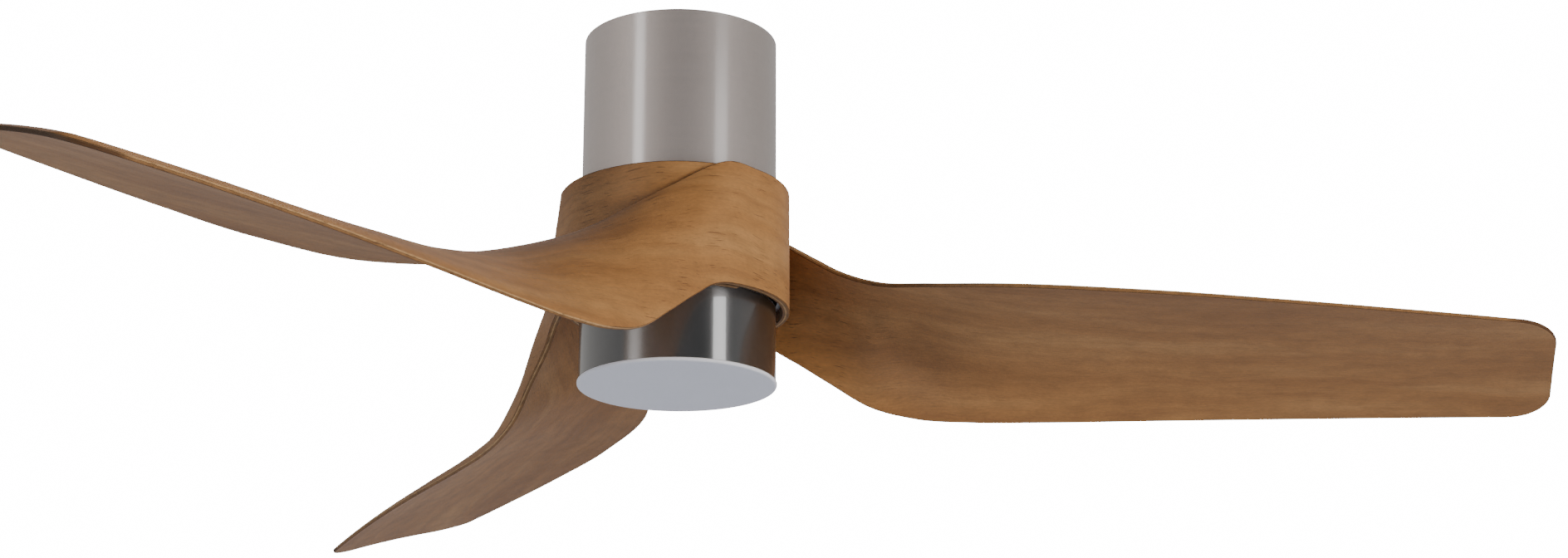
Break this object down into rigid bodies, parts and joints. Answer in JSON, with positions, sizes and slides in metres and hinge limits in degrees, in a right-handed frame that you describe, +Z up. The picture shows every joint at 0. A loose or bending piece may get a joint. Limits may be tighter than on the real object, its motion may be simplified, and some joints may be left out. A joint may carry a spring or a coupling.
{
  "type": "ceiling fan with light",
  "caption": "Close-to-ceiling fan with bent-wood blades wrapped round a central hub, nickel canopy and a round frosted light below.",
  "frame": {"origin": "on the fan's axis at the ceiling plane, the centre of the bracket's slots", "axes": "+Z up into the ceiling, so the fan hangs below the origin; +Y away from the viewer in the picture's view, +X to its right"},
  "size_m": [1.1673, 1.2691, 0.3192],
  "materials": {
    "wood": "satin veneer over plywood",
    "satin_nickel": "brushed",
    "polished_nickel": "polished",
    "frosted_acrylic": "frosted",
    "zinc_steel": "zinc plated",
    "cast_aluminium": "as cast",
    "shaft_steel": "ground",
    "bearing_steel": "ground",
    "lamination_steel": "oiled laminations",
    "copper_winding": "enamelled copper",
    "ferrite": "sintered",
    "white_plastic": "moulded",
    "black_plastic": "moulded",
    "circuit_green": "solder mask",
    "led_white": "phosphor",
    "brass_insert": "knurled",
    "ground_green": "dyed",
    "silicone": "matte",
    "black_rubber": "matte"
  },
  "bodies": {
    "mounting": {"canopy_lugs": "zinc_steel", "canopy_screws": "satin_nickel", "canopy_shell": "satin_nickel", "ceiling_bracket": "zinc_steel", "diffuser": "frosted_acrylic", "ground_screw": "ground_green", "heat_sink": "cast_aluminium", "housing_screws": "zinc_steel", "led_board": "white_plastic", "led_chips": "led_white", "led_driver": "black_plastic", "lens_gasket": "silicone", "light_housing": "polished_nickel", "light_plate": "zinc_steel", "lower_inner_race": "bearing_steel", "motor_plate": "zinc_steel", "motor_screws": "zinc_steel", "motor_shaft": "shaft_steel", "receiver_board": "circuit_green", "receiver_case": "white_plastic", "receiver_cover": "white_plastic", "reflector": "white_plastic", "shaft_grommet": "black_rubber", "shaft_nut": "zinc_steel", "shaft_washer": "zinc_steel", "stator_bush": "cast_aluminium", "stator_coils": "copper_winding", "stator_core": "lamination_steel", "terminal_block": "white_plastic", "tray_posts": "zinc_steel", "tray_screws": "zinc_steel", "upper_inner_race": "bearing_steel"},
    "rotor": {"blade_1": "wood", "blade_2": "wood", "blade_3": "wood", "blade_hub": "cast_aluminium", "blade_inserts": "brass_insert", "blade_screws": "zinc_steel", "cover_screws": "zinc_steel", "hub_screws": "zinc_steel", "lower_balls": "bearing_steel", "lower_outer_race": "bearing_steel", "magnet_ring": "ferrite", "rotor_lower_cover": "cast_aluminium", "rotor_upper_cover": "cast_aluminium", "upper_balls": "bearing_steel", "upper_outer_race": "bearing_steel"}
  },
  "joints": [
    {"name": "fan_spin", "type": "hinge", "parent": "mounting", "child": "rotor", "pos_m": [0, 0, -0.187], "axis": [0, 0, 1], "continuous": true}
  ]
}
